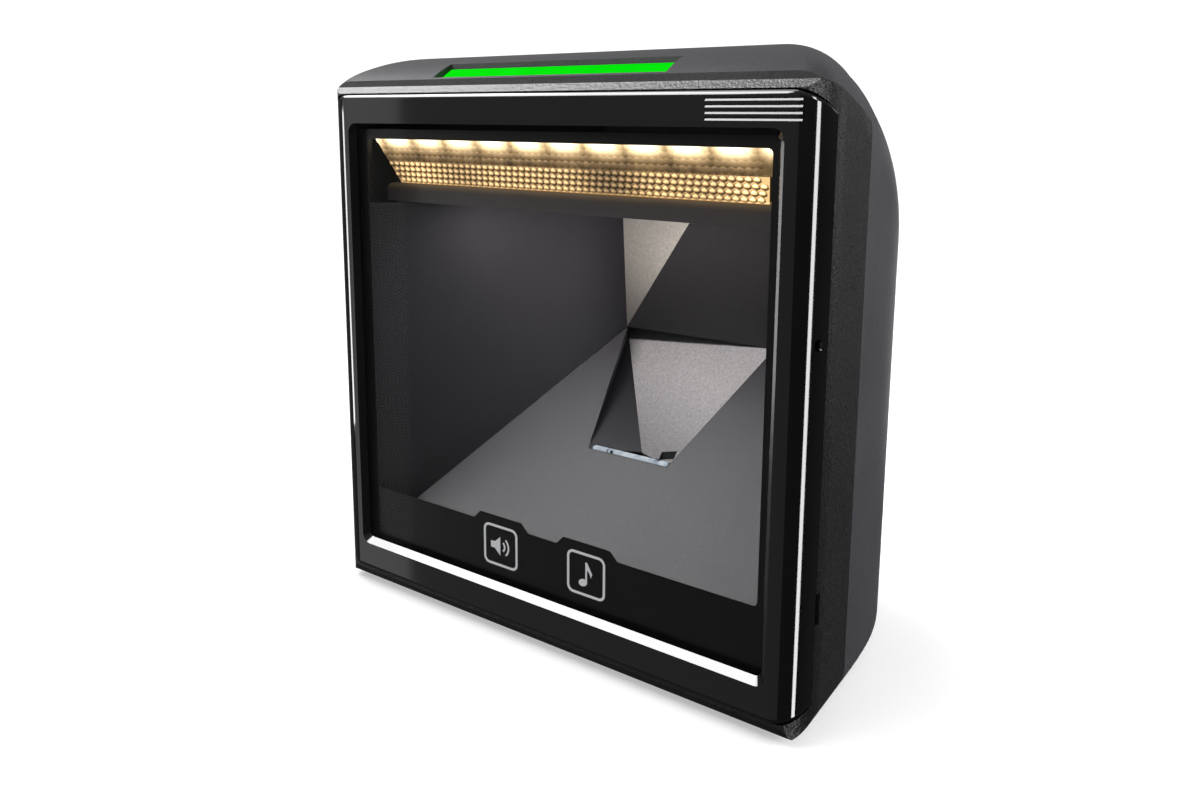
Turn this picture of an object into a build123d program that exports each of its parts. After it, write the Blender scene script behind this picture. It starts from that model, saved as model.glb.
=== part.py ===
from build123d import *
import os
from math import sqrt

# Upright hands-free presentation scanner, in millimetres.
# Drawn with the bezel's face at Y 0; save() moves each part back by half the depth,
# so the finished origin is the middle of the underside, where the feet rest.
# +Z up, front faces -Y.

# ---------------------------------------------------------------- driving dimensions
WIDTH = 146.0
DEPTH = 80.0
BASE_Z = 0.6              # underside of the shells; the feet reach down to 0
CREST_Z = 153.2           # highest line of the top
CREST_Y = 26.0
FRONT_TOP_Z = 144.8       # top of the body at its front face
REAR_TOP_Z = 121.0        # top of the body at its back face
REAR_WIDTH = 112.0
TAPER_Y = 24.0            # the sides run straight as far back as this
FRONT_CORNER_R = 9.0      # upright front corners, seen from above
CORNER_R = 8.0            # four corners, seen from the front
REAR_ROUND = 10.0
WALL = 2.2
INNER_FRONT_Y = 8.0       # back of the front housing's front wall

BEZEL_Z = (5.2, 143.0)
BEZEL_DEPTH = 5.5
GAP = 0.12                # visible joint between shells
PARTING_Y = 24.5          # upright joint between housing and rear cover

OPENING_HALF = 63.6       # window opening at the bezel's front face
OPENING_Z = (13.1, 135.2)
RECESS = 1.7              # glass lies this far behind the bezel's face
BEVEL = 1.5
CLEAR_HALF = 59.8         # clear part of the glass
CLEAR_Z = (29.9, 131.0)
GLASS_T = 1.6
GLASS_Y = RECESS + 0.05
INK_Y = GLASS_Y + GLASS_T
INK_T = 0.12

KEY_X = 13.8              # touch keys left and right of the middle
KEY_Z = 23.9
KEY_HALF = 5.75
KEY_LINE = 0.65

APEX = (-7.0, 55.0, 75.4)         # deepest corner of the optical chamber
CHAMBER_FRONT_Y = 3.85
CHAMBER_TOP_Z = 113.0
FLOOR_FRONT_Z = 15.1
CHAMBER_RIGHT_X = 61.5
CHAMBER_LEFT_X = -62.2
BACK_LEAN = 0.5                   # upper wall comes forward this much per mm of height
PLATE = 1.6

LED_COUNT = 10
LED_PITCH = 11.1
BAR_HALF = 58.5

os.makedirs("parts", exist_ok=True)
written = []


def save(part, name):
    part = Pos(0, -DEPTH / 2, 0) * part
    part.label = name
    export_step(part, f"parts/{name}.step")
    written.append(name)


# ---------------------------------------------------------------- body envelope
def half_width(y):
    run = max(0.0, (y - TAPER_Y) / (DEPTH - TAPER_Y))
    return WIDTH / 2 - (WIDTH - REAR_WIDTH) / 2 * run ** 3.5


def top_height(y):
    if y < CREST_Y:
        return CREST_Z - (CREST_Z - FRONT_TOP_Z) * ((CREST_Y - y) / CREST_Y) ** 2.3
    return CREST_Z - (CREST_Z - REAR_TOP_Z) * ((y - CREST_Y) / (DEPTH - CREST_Y)) ** 2


def top_corner(y):
    if y < 5:
        return CORNER_R
    if y < 28:
        return CORNER_R + 16.0 * (y - 5) / 23
    return 24.0 + 20.0 * (y - 28) / (DEPTH - 28)


def rear_inset(y):
    """How far the outline draws in to round the back edge."""
    past = y - (DEPTH - REAR_ROUND)
    if past <= 0:
        return 0.0
    return 0.9 * (REAR_ROUND - sqrt(max(0.0, REAR_ROUND ** 2 - past ** 2)))


def outline(y, skin):
    """Sketch of the body's cross-section at depth y, drawn in by skin."""
    inset = rear_inset(y) + skin
    half = half_width(y) - inset
    top = top_height(y) - inset
    low = BASE_Z + skin + 0.5 * rear_inset(y)
    r_top = max(3.0, top_corner(y) - inset)
    r_low = max(3.0, CORNER_R - skin)
    k = sqrt(0.5)
    with BuildSketch(Plane.XZ.offset(-y)) as face:
        with BuildLine():
            Line((-half + r_low, low), (half - r_low, low))
            ThreePointArc((half - r_low, low), (half - r_low * (1 - k), low + r_low * (1 - k)),
                          (half, low + r_low))
            Line((half, low + r_low), (half, top - r_top))
            ThreePointArc((half, top - r_top), (half - r_top * (1 - k), top - r_top * (1 - k)),
                          (half - r_top, top))
            Line((half - r_top, top), (-half + r_top, top))
            ThreePointArc((-half + r_top, top), (-half + r_top * (1 - k), top - r_top * (1 - k)),
                          (-half, top - r_top))
            Line((-half, top - r_top), (-half, low + r_low))
            ThreePointArc((-half, low + r_low), (-half + r_low * (1 - k), low + r_low * (1 - k)),
                          (-half + r_low, low))
        make_face()
    return face.sketch


def envelope(skin, y_start, y_end):
    """Solid body lofted through cross-sections from front to back."""
    fixed = [3, 6, 10, 15, 20, 26, 34, 43, 52, 61, 70, 74.5, 77.5]
    stations = [y_start] + [y for y in fixed if y_start + 1 < y < y_end - 1] + [y_end]
    faces = [outline(y, skin) for y in stations]
    with BuildPart() as solid:
        loft(faces)
    return solid.part


with BuildSketch(Plane.XY) as plan_outline:
    half = WIDTH / 2
    k45 = FRONT_CORNER_R * (1 - sqrt(0.5))
    with BuildLine():
        Line((-half, DEPTH + 5), (-half, FRONT_CORNER_R))
        ThreePointArc((-half, FRONT_CORNER_R), (-half + k45, k45), (-half + FRONT_CORNER_R, 0))
        Line((-half + FRONT_CORNER_R, 0), (half - FRONT_CORNER_R, 0))
        ThreePointArc((half - FRONT_CORNER_R, 0), (half - k45, k45), (half, FRONT_CORNER_R))
        Line((half, FRONT_CORNER_R), (half, DEPTH + 5))
        Line((half, DEPTH + 5), (-half, DEPTH + 5))
    make_face()

with BuildPart() as plan_prism:
    add(plan_outline.sketch)
    extrude(amount=CREST_Z + 10)

with BuildPart() as outer_body:
    add(envelope(0.0, 0.0, DEPTH))
    add(plan_prism.part, mode=Mode.INTERSECT)

inner_body = envelope(WALL, INNER_FRONT_Y, DEPTH - WALL)


# ---------------------------------------------------------------- bezel
def bezel_blank(grow, y_back):
    """Rounded slab of the bezel, grown all round by grow."""
    low, high = BEZEL_Z
    with BuildPart() as slab:
        with BuildSketch(Plane.XZ.offset(1)):
            with Locations((0, (low + high) / 2)):
                RectangleRounded(WIDTH + 0.2 * grow, high - low + 2 * grow, CORNER_R)
        extrude(amount=-(y_back + 1))
    return slab.part


# Bevelled mouth of the window opening, narrower towards the glass.
LIP_START = 0.4           # the cut begins this far in front of the face
MOUTH_Z = sum(OPENING_Z) / 2
MOUTH_TALL = OPENING_Z[1] - OPENING_Z[0]
lip_grow = LIP_START * BEVEL / RECESS
with BuildPart() as lip_cut:
    with BuildSketch(Plane.XZ.offset(LIP_START)):
        with Locations((0, MOUTH_Z)):
            RectangleRounded(2 * (OPENING_HALF + lip_grow), MOUTH_TALL + 2 * lip_grow, 2.6 + lip_grow)
    with BuildSketch(Plane.XZ.offset(-RECESS)):
        with Locations((0, MOUTH_Z)):
            RectangleRounded(2 * (OPENING_HALF - BEVEL), MOUTH_TALL - 2 * BEVEL, 1.6)
    loft()

with BuildPart() as front_bezel:
    add(bezel_blank(0.0, BEZEL_DEPTH))
    add(plan_prism.part, mode=Mode.INTERSECT)
    front_edges = front_bezel.edges().filter_by(Axis.X).group_by(Axis.Y)[0]
    fillet(front_edges, 1.3)
    add(lip_cut.part, mode=Mode.SUBTRACT)
    # pocket that holds the glass from behind
    with BuildSketch(Plane.XZ.offset(-RECESS)):
        with Locations((0, MOUTH_Z)):
            RectangleRounded(2 * OPENING_HALF + 3.4, MOUTH_TALL + 3.4, 3.0)
    extrude(amount=-BEZEL_DEPTH, mode=Mode.SUBTRACT)
    # sound cavity and four slots
    with Locations((56.5, 3.9, 138.9)):
        Box(24.0, 4.2, 5.2, mode=Mode.SUBTRACT)
    with Locations(*[(56.4, 0.5, 136.9 + 1.35 * i) for i in range(4)]):
        Box(21.6, 5.0, 0.62, mode=Mode.SUBTRACT)
    # release hole in the right side
    with BuildSketch(Plane.YZ.offset(WIDTH / 2 - 4)):
        with Locations((3.6, 91.1)):
            SlotOverall(2.5, 1.4, rotation=90)
    extrude(amount=6, mode=Mode.SUBTRACT)
save(front_bezel.part, "front_bezel")

# ---------------------------------------------------------------- shells
with BuildPart() as below_parting:
    with BuildSketch(Plane.YZ.offset(-WIDTH)):
        with BuildLine():
            Polyline((-2, -2), (-2, FRONT_TOP_Z + 0.1), (2.4, FRONT_TOP_Z + 0.1), (26, 136.6),
                     (PARTING_Y, 131.5), (PARTING_Y, -2), close=True)
        make_face()
    extrude(amount=2 * WIDTH)

with BuildPart() as front_housing:
    add(outer_body.part)
    add(below_parting.part, mode=Mode.INTERSECT)
    add(bezel_blank(GAP, BEZEL_DEPTH + GAP), mode=Mode.SUBTRACT)
    add(inner_body, mode=Mode.SUBTRACT)
    # edge of the front band, set back from the bezel face
    with BuildSketch(Plane.YZ.offset(-WIDTH)) as band_cuts:
        with BuildLine():
            Polyline((-2, 142.5), (0.7, 142.5), (0.7, 143.2), (2.4, 144.95), (2.4, 147), (-2, 147),
                     close=True)
        make_face()
        with BuildLine():
            Polyline((-2, -2), (4.6, -2), (4.6, BASE_Z), (1.6, 2.4), (1.0, 4.2), (1.0, 5.6),
                     (-2, 5.6), close=True)
        make_face()
    extrude(band_cuts.sketch, amount=2 * WIDTH, mode=Mode.SUBTRACT)
    # light opening behind the glass
    with BuildSketch(Plane.XZ):
        with Locations((0, (14.2 + 132.6) / 2)):
            RectangleRounded(2 * 63.0, 132.6 - 14.2, 2.0)
    extrude(amount=-12, mode=Mode.SUBTRACT)
    # sound opening behind the slots
    with Locations((56.0, 7.0, 139.4)):
        Box(19.0, 4.0, 5.6, mode=Mode.SUBTRACT)
    # prying notch in each side, at the bezel joint
    with Locations((WIDTH / 2, 6.2, 32.2), (-WIDTH / 2, 6.2, 32.2)):
        Box(3.0, 1.3, 7.3, mode=Mode.SUBTRACT)
    # clearance for the case screws
    with Locations((-48, 14.5, 0), (48, 14.5, 0)):
        Cylinder(1.8, 12, mode=Mode.SUBTRACT)
save(front_housing.part, "front_housing")

JACK = dict(x0=-28.0, x1=-12.0, z0=12.0, z1=26.5)
JACK_HOLE = dict(x0=-25.9, x1=-14.1, z0=15.0, z1=22.2)
AUX = dict(x0=6.0, x1=21.0, z0=15.0, z1=22.6)
AUX_HOLE = dict(x0=7.3, x1=19.7, z0=16.4, z1=21.2)
SOCKET_FRONT_Y = 64.0
SOCKET_BACK_Y = 79.2
STAND_X = 25.0
STAND_Y = 42.0

PANEL_X = (-34.0, 27.0)
PANEL_TOP_Z = 31.0
PANEL_FRONT_Y = 72.0


def socket_cuts():
    """Boxes that clear the two sockets where they pass through the back wall."""
    with BuildPart() as cuts:
        for hole in (JACK, AUX):
            wide = hole["x1"] - hole["x0"] + 0.3
            high = hole["z1"] - hole["z0"] + 0.3
            with Locations(((hole["x0"] + hole["x1"]) / 2, DEPTH, (hole["z0"] + hole["z1"]) / 2)):
                Box(wide, 12, high)
    return cuts.part


def panel_region(grow):
    """Space of the connector panel in the lower back, grown all round by grow."""
    wide = PANEL_X[1] - PANEL_X[0] + 2 * grow
    deep = DEPTH + 5 - PANEL_FRONT_Y + grow
    high = PANEL_TOP_Z + 5 + grow
    with BuildPart() as region:
        with Locations((sum(PANEL_X) / 2, DEPTH + 5 - deep / 2, PANEL_TOP_Z + grow - high / 2)):
            Box(wide, deep, high)
    return region.part


with BuildPart() as connector_panel:
    add(outer_body.part)
    add(inner_body, mode=Mode.SUBTRACT)
    add(panel_region(0.0), mode=Mode.INTERSECT)
    add(socket_cuts(), mode=Mode.SUBTRACT)
save(connector_panel.part, "connector_panel")

with BuildPart() as rear_cover:
    add(outer_body.part)
    add(below_parting.part, mode=Mode.SUBTRACT)
    add(inner_body, mode=Mode.SUBTRACT)
    add(panel_region(GAP), mode=Mode.SUBTRACT)
    with Locations((0, 0, FRONT_TOP_Z)):
        Box(2 * WIDTH, 5.0, 20.0, mode=Mode.SUBTRACT)
    # joint gap to the front housing
    with Locations((0, PARTING_Y, 66.0)):
        Box(2 * WIDTH, 2 * GAP, 134.0, mode=Mode.SUBTRACT)
    # recess of the indicator window, open to the inside at its back
    with Locations((0, 6.8, 150.0)):
        Box(69.0, 7.2, 9.8, mode=Mode.SUBTRACT)
    with Locations((0, 9.4, 145.0)):
        Box(69.0, 2.0, 12.0, mode=Mode.SUBTRACT)
    with Locations((-42, 64, 0), (42, 64, 0)):
        Cylinder(1.8, 12, mode=Mode.SUBTRACT)
    with Locations((-STAND_X, STAND_Y, 0), (STAND_X, STAND_Y, 0)):
        Cylinder(3.3, 12, mode=Mode.SUBTRACT)
save(rear_cover.part, "rear_cover")


# ---------------------------------------------------------------- window
def window_slab(half_x, z0, z1, y0, thick, radius):
    with BuildPart() as slab:
        with BuildSketch(Plane.XZ.offset(-y0)):
            with Locations((0, (z0 + z1) / 2)):
                RectangleRounded(2 * half_x, z1 - z0, radius)
        extrude(amount=-thick)
    return slab.part


GLASS_HALF = OPENING_HALF + 1.5
GLASS_Z = (OPENING_Z[0] - 1.5, OPENING_Z[1] + 1.5)
save(window_slab(GLASS_HALF, *GLASS_Z, GLASS_Y, GLASS_T, 2.8), "window_glass")

TAB_HALF = 7.6
with BuildPart() as window_border:
    with BuildSketch(Plane.XZ.offset(-(INK_Y + INK_T))):
        with Locations((0, sum(GLASS_Z) / 2)):
            RectangleRounded(2 * GLASS_HALF, GLASS_Z[1] - GLASS_Z[0], 2.8)
        with Locations((0, sum(CLEAR_Z) / 2)):
            RectangleRounded(2 * CLEAR_HALF, CLEAR_Z[1] - CLEAR_Z[0], 1.2, mode=Mode.SUBTRACT)
        for side in (-1, 1):
            with BuildLine():
                Polyline((side * KEY_X - TAB_HALF - 1.6, CLEAR_Z[0] - 1),
                         (side * KEY_X - TAB_HALF - 1.6, CLEAR_Z[0]),
                         (side * KEY_X - TAB_HALF + 0.6, CLEAR_Z[0] + 2.3),
                         (side * KEY_X + TAB_HALF - 0.6, CLEAR_Z[0] + 2.3),
                         (side * KEY_X + TAB_HALF + 1.6, CLEAR_Z[0]),
                         (side * KEY_X + TAB_HALF + 1.6, CLEAR_Z[0] - 1), close=True)
            make_face()
    extrude(amount=-INK_T)
save(window_border.part, "window_border")

# Symbols of the two touch keys, printed on the back of the glass.
with BuildPart() as key_symbols:
    with BuildSketch(Plane.XZ.offset(-INK_Y)):
        with Locations((-KEY_X, KEY_Z), (KEY_X, KEY_Z)):
            RectangleRounded(2 * KEY_HALF, 2 * KEY_HALF, 1.9)
            RectangleRounded(2 * (KEY_HALF - KEY_LINE), 2 * (KEY_HALF - KEY_LINE), 1.3,
                             mode=Mode.SUBTRACT)
        # loudspeaker with two sound waves
        with BuildLine():
            Polyline((-KEY_X - 3.3, KEY_Z - 0.9), (-KEY_X - 2.0, KEY_Z - 0.9),
                     (-KEY_X - 0.1, KEY_Z - 2.6), (-KEY_X - 0.1, KEY_Z + 2.6),
                     (-KEY_X - 2.0, KEY_Z + 0.9), (-KEY_X - 3.3, KEY_Z + 0.9), close=True)
        make_face()
        for radius in (1.6, 2.9):
            with BuildLine():
                CenterArc((-KEY_X - 0.2, KEY_Z), radius + 0.25, -48, 96)
                CenterArc((-KEY_X - 0.2, KEY_Z), radius - 0.25, -48, 96)
                for turn in (-48, 48):
                    Line(PolarLine((-KEY_X - 0.2, KEY_Z), radius - 0.25, turn, mode=Mode.PRIVATE) @ 1,
                         PolarLine((-KEY_X - 0.2, KEY_Z), radius + 0.25, turn, mode=Mode.PRIVATE) @ 1)
            make_face()
        # quaver
        with Locations((KEY_X - 0.9, KEY_Z - 2.3)):
            Ellipse(1.3, 0.95, rotation=20)
        with Locations((KEY_X + 0.1, KEY_Z + 0.5)):
            Rectangle(0.5, 5.6)
        with BuildLine():
            Polyline((KEY_X - 0.15, KEY_Z + 3.3), (KEY_X + 0.35, KEY_Z + 3.3),
                     (KEY_X + 1.9, KEY_Z + 0.6), (KEY_X + 1.5, KEY_Z - 0.5),
                     (KEY_X + 1.1, KEY_Z + 0.7), (KEY_X - 0.15, KEY_Z + 1.9), close=True)
        make_face()
    extrude(amount=-INK_T * 0.8)
save(key_symbols.part, "key_symbols")

with BuildPart() as window_seal:
    with BuildSketch(Plane.XZ.offset(-(INK_Y + 2 * INK_T + 0.05))):
        with Locations((0, sum(GLASS_Z) / 2)):
            RectangleRounded(2 * GLASS_HALF, GLASS_Z[1] - GLASS_Z[0], 2.8)
            RectangleRounded(2 * 63.3, GLASS_Z[1] - GLASS_Z[0] - 3.0, 1.6, mode=Mode.SUBTRACT)
    extrude(amount=-(BEZEL_DEPTH + GAP - INK_Y - 2 * INK_T - 0.1))
save(window_seal.part, "window_seal")

with BuildPart() as touch_board:
    with Locations((0, CHAMBER_FRONT_Y + 0.5, 23.4)):
        Box(64.0, 0.8, 11.0)
save(touch_board.part, "touch_board")


# ---------------------------------------------------------------- optical chamber
def facet(points, thickness=PLATE, away_from=(0.0, 0.0, 90.0)):
    """Flat plate on a polygon, thickened away from a point inside the chamber."""
    corner = [Vector(*p) for p in points]
    normal = (corner[1] - corner[0]).cross(corner[2] - corner[0]).normalized()
    if normal.dot(Vector(*away_from) - corner[0]) > 0:
        normal = normal * -1
    face = make_face(Polyline(*corner, close=True))
    return extrude(face, amount=thickness, dir=normal)


def across(p, q, r, y, z):
    """Point at the given y and z on the plane through p, q and r."""
    p, q, r = Vector(*p), Vector(*q), Vector(*r)
    normal = (q - p).cross(r - p)
    x = p.X - (normal.Y * (y - p.Y) + normal.Z * (z - p.Z)) / normal.X
    return (x, y, z)


def floor_z(y):
    slope = (APEX[2] - FLOOR_FRONT_Z) / (APEX[1] - CHAMBER_FRONT_Y)
    return FLOOR_FRONT_Z + slope * (y - CHAMBER_FRONT_Y)


def on_floor(x, y):
    return (x, y, floor_z(y))


def back_y(z):
    return APEX[1] - BACK_LEAN * (z - APEX[2])


VALLEY_TOP = (APEX[0] - 1.3, APEX[1] - 1.2, CHAMBER_TOP_Z)
RIDGE_TOP = (25.0, back_y(CHAMBER_TOP_Z), CHAMBER_TOP_Z)
INSIDE = (10.0, 20.0, 80.0)

# Left wall of the chamber: one large upright panel at about 45 degrees.
LEFT_LOW = on_floor(CHAMBER_LEFT_X, CHAMBER_FRONT_Y)
left_facet = facet([LEFT_LOW, APEX, VALLEY_TOP,
                    across(LEFT_LOW, APEX, VALLEY_TOP, CHAMBER_FRONT_Y, CHAMBER_TOP_Z)],
                   away_from=INSIDE)
with BuildPart() as left_wall:
    add(left_facet)
save(left_wall.part, "left_wall")

# Upper wall: a facet turned to the left beside the valley, and the leaning back wall.
valley_facet = facet([APEX, VALLEY_TOP, RIDGE_TOP], away_from=INSIDE)
leaning_facet = facet([APEX, RIDGE_TOP, (CHAMBER_RIGHT_X, back_y(CHAMBER_TOP_Z), CHAMBER_TOP_Z),
                       (CHAMBER_RIGHT_X, APEX[1], APEX[2])], away_from=INSIDE)
with BuildPart() as upper_wall:
    add(valley_facet)
    add(leaning_facet)
    with Locations((0, 0, CHAMBER_TOP_Z + 5.1)):
        Box(2 * WIDTH, 3 * DEPTH, 10.0, mode=Mode.SUBTRACT)
save(upper_wall.part, "upper_wall")

# Floor with the imaging recess: a steep left side, a wide right ramp and a lower lip.
LIP_Y = 29.9
RECESS_LEFT = on_floor(-3.7, LIP_Y)
RECESS_RIGHT = on_floor(21.6, LIP_Y)
RAMP_TOP = on_floor(39.7, APEX[1])
DEEP_TOP = (-13.3, 65.6, 72.4)
STRIP_Y = 30.95           # middle of the imager's window, seen edge on
STRIP_T = 1.6
STRIP_TOP_Z = 46.4
DEEP_LOW = across(RECESS_RIGHT, RAMP_TOP, DEEP_TOP, 33.4, 46.74)

with BuildPart() as floor_panel:
    with BuildSketch(Plane.XY):
        with BuildLine():
            Polyline((CHAMBER_LEFT_X, CHAMBER_FRONT_Y), (APEX[0], APEX[1]), (CHAMBER_RIGHT_X, APEX[1]),
                     (CHAMBER_RIGHT_X, CHAMBER_FRONT_Y), close=True)
        make_face()
        with BuildLine():
            Polyline((RECESS_LEFT[0], LIP_Y), (RECESS_RIGHT[0], LIP_Y), (RAMP_TOP[0], APEX[1] + 1),
                     (APEX[0], APEX[1] + 1), close=True)
        make_face(mode=Mode.SUBTRACT)
    extrude(amount=120)
    with BuildSketch(Plane.YZ.offset(-WIDTH / 2)):
        with BuildLine():
            Polyline((CHAMBER_FRONT_Y, FLOOR_FRONT_Z), (APEX[1], APEX[2] - 0.25),
                     (APEX[1], APEX[2] - 2.6), (CHAMBER_FRONT_Y + 1.2, FLOOR_FRONT_Z - 0.8),
                     (CHAMBER_FRONT_Y, FLOOR_FRONT_Z - 0.8), close=True)
        make_face()
    extrude(amount=WIDTH, mode=Mode.INTERSECT)
save(floor_panel.part, "floor_panel")

ramp_facet = facet([RECESS_RIGHT, RAMP_TOP, DEEP_TOP, DEEP_LOW], away_from=(0, 0, 120))
steep_facet = facet([RECESS_LEFT, DEEP_TOP, DEEP_LOW], away_from=(60, 0, 60))
with BuildPart() as recess_walls:
    add(ramp_facet)
    add(steep_facet)
    add(floor_panel.part, mode=Mode.SUBTRACT)
    # slot for the imager's window, and a small notch behind its right end
    with Locations((10.05, STRIP_Y, STRIP_TOP_Z - 4.1)):
        Box(25.1, STRIP_T + 0.2, 8.8, mode=Mode.SUBTRACT)
    with Locations((20.3, STRIP_Y + 1.45, STRIP_TOP_Z)):
        Box(4.6, 1.7, 8.8, mode=Mode.SUBTRACT)
save(recess_walls.part, "recess_walls")


# ---------------------------------------------------------------- light bar
BAR_FACETS = [(5.0, 131.4), (8.6, 124.8), (12.0, 118.6)]
with BuildPart() as light_bar:
    with BuildSketch(Plane.YZ.offset(-BAR_HALF)):
        with BuildLine():
            Polyline(*BAR_FACETS, (15.8, 119.4), (15.8, 131.4), close=True)
        make_face()
    extrude(amount=2 * BAR_HALF)
    # slanted ends
    with BuildSketch(Plane.XZ) as end_cuts:
        for side in (-1, 1):
            with BuildLine():
                Polyline((side * (BAR_HALF + 1), 131.4), (side * BAR_HALF, 131.4),
                         (side * (BAR_HALF - 3.0), 118), (side * (BAR_HALF + 1), 118), close=True)
            make_face()
    extrude(end_cuts.sketch, amount=-30, mode=Mode.SUBTRACT)
save(light_bar.part, "light_bar")

with BuildPart() as led_board:
    with Locations((0, 19.0, 125.6)):
        Box(118.0, 1.2, 11.6)
save(led_board.part, "led_board")

LED_X = [LED_PITCH * (i - (LED_COUNT - 1) / 2) for i in range(LED_COUNT)]
with BuildPart() as led_emitters:
    with Locations(*[(x, 17.5, 126.4) for x in LED_X]):
        Box(3.5, 1.8, 2.8)
save(led_emitters.part, "led_emitters")

SHELF_HALF = 61.6
with BuildPart() as light_shelf:
    with BuildSketch(Plane.YZ.offset(-SHELF_HALF)):
        with BuildLine():
            Polyline((12.2, 113.2), (12.2, 118.4), (14.0, 118.4), (14.0, 115.0), (55.0, 115.0),
                     (55.0, 113.2), close=True)
        make_face()
    extrude(amount=2 * SHELF_HALF)
    corners = light_shelf.edges().filter_by(Axis.Y).group_by(Axis.Z)[-1]
    fillet(corners, 2.4)
    # rear support of the light board
    with Locations((0, 20.4, 122.0)):
        Box(112.0, 1.4, 14.2)
save(light_shelf.part, "light_shelf")

with BuildPart() as chamber_side:
    with BuildSketch(Plane.YZ.offset(CHAMBER_RIGHT_X + 0.05)):
        with BuildLine():
            Polyline((CHAMBER_FRONT_Y, FLOOR_FRONT_Z), (APEX[1], APEX[2]),
                     (back_y(CHAMBER_TOP_Z), CHAMBER_TOP_Z), (CHAMBER_FRONT_Y, CHAMBER_TOP_Z), close=True)
        make_face()
    extrude(amount=1.4)
save(chamber_side.part, "chamber_side")


# ---------------------------------------------------------------- indicator
with BuildPart() as indicator_lens:
    with BuildSketch(Plane.YZ.offset(-34.3)):
        with BuildLine():
            Polyline((3.35, 145.2), (10.25, 149.2), (10.25, 141.6), (8.55, 141.6), (8.55, 145.2),
                     close=True)
        make_face()
    extrude(amount=68.6)
save(indicator_lens.part, "indicator_lens")

with BuildPart() as indicator_board:
    with Locations((0, 14.0, 139.6)):
        Box(66.0, 12.0, 1.0)
save(indicator_board.part, "indicator_board")

with BuildPart() as indicator_leds:
    with Locations(*[(x, 9.4, 140.7) for x in (-26, -13, 0, 13, 26)]):
        Box(3.0, 1.6, 1.2)
save(indicator_leds.part, "indicator_leds")


# ---------------------------------------------------------------- imager
IMAGER_X = 9.0
with BuildPart() as imager_window:
    with Locations((9.3, STRIP_Y, STRIP_TOP_Z - 4.1)):
        Box(23.2, STRIP_T, 8.2)
save(imager_window.part, "imager_window")

IMAGER_AXIS_Y = 46.0
with BuildPart() as imager_lens:
    with BuildSketch(Plane.XY.offset(26.4)):
        with Locations((IMAGER_X, IMAGER_AXIS_Y)):
            Circle(6.0)
    extrude(amount=9.0)
    with BuildSketch(Plane.XY.offset(31.4)):
        with Locations((IMAGER_X, IMAGER_AXIS_Y)):
            Circle(4.2)
    extrude(amount=5.0, mode=Mode.SUBTRACT)
save(imager_lens.part, "imager_lens")

with BuildPart() as imager_glass:
    with Locations((IMAGER_X, IMAGER_AXIS_Y, 31.4)):
        Cylinder(4.1, 1.6, align=(Align.CENTER, Align.CENTER, Align.MIN))
save(imager_glass.part, "imager_glass")

with BuildPart() as imager_holder:
    with Locations((IMAGER_X, IMAGER_AXIS_Y, 22.0)):
        Box(19.0, 19.0, 12.0)
    with Locations((IMAGER_X, IMAGER_AXIS_Y, 28.0)):
        Cylinder(6.05, 3.2, mode=Mode.SUBTRACT)
    with Locations((IMAGER_X, IMAGER_AXIS_Y, 20.0)):
        Box(12.0, 12.0, 9.0, mode=Mode.SUBTRACT)
save(imager_holder.part, "imager_holder")

with BuildPart() as imager_board:
    with Locations((IMAGER_X, IMAGER_AXIS_Y, 15.3)):
        Box(26.0, 22.0, 1.2)
save(imager_board.part, "imager_board")

with BuildPart() as image_sensor:
    with Locations((IMAGER_X, IMAGER_AXIS_Y, 16.6)):
        Box(8.0, 7.0, 1.3)
save(image_sensor.part, "image_sensor")


# ---------------------------------------------------------------- boards and frame
BOARD_Y = 70.4
with BuildPart() as chassis_bracket:
    with Locations((0, 68.6, 56.0)):
        Box(100.0, 1.2, 98.0)
    with Locations((-12.0, 68.6, 70.0)):
        Box(14.0, 2.0, 12.0, mode=Mode.SUBTRACT)
    with Locations((0, 65.0, 7.6)):
        Box(100.0, 8.4, 1.2)
    with Locations((-20.0, 68.6, 19.4), (13.5, 68.6, 18.9)):
        Box(18.0, 4.0, 17.0, mode=Mode.SUBTRACT)
save(chassis_bracket.part, "chassis_bracket")

BOARD_SCREWS = [(-44, 36), (44, 36), (-44, 98), (44, 98)]
with BuildPart() as main_board:
    with Locations((0, BOARD_Y, 66.5)):
        Box(96.0, 1.6, 73.0)
    with BuildSketch(Plane.XZ):
        with Locations(*BOARD_SCREWS):
            Circle(1.6)
    extrude(amount=-DEPTH, mode=Mode.SUBTRACT)
save(main_board.part, "main_board")

with BuildPart() as processor_shield:
    with Locations((-14.0, 72.8, 70.0)):
        Box(32.0, 3.2, 28.0)
    fillet(processor_shield.edges().filter_by(Axis.Y), 1.5)
save(processor_shield.part, "processor_shield")

with BuildPart() as power_inductors:
    with Locations((22.0, 72.9, 56.0), (22.0, 72.9, 68.0), (34.0, 72.9, 56.0)):
        Box(7.0, 3.4, 7.0)
save(power_inductors.part, "power_inductors")

with BuildPart() as board_screws:
    for x, z in BOARD_SCREWS:
        with BuildSketch(Plane.XZ.offset(-(BOARD_Y + 0.8))):
            with Locations((x, z)):
                Circle(2.6)
        extrude(amount=-1.6)
        with BuildSketch(Plane.XZ.offset(-(BOARD_Y - 1.2))):
            with Locations((x, z)):
                Circle(1.5)
        extrude(amount=-2.0)
save(board_screws.part, "board_screws")

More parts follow.
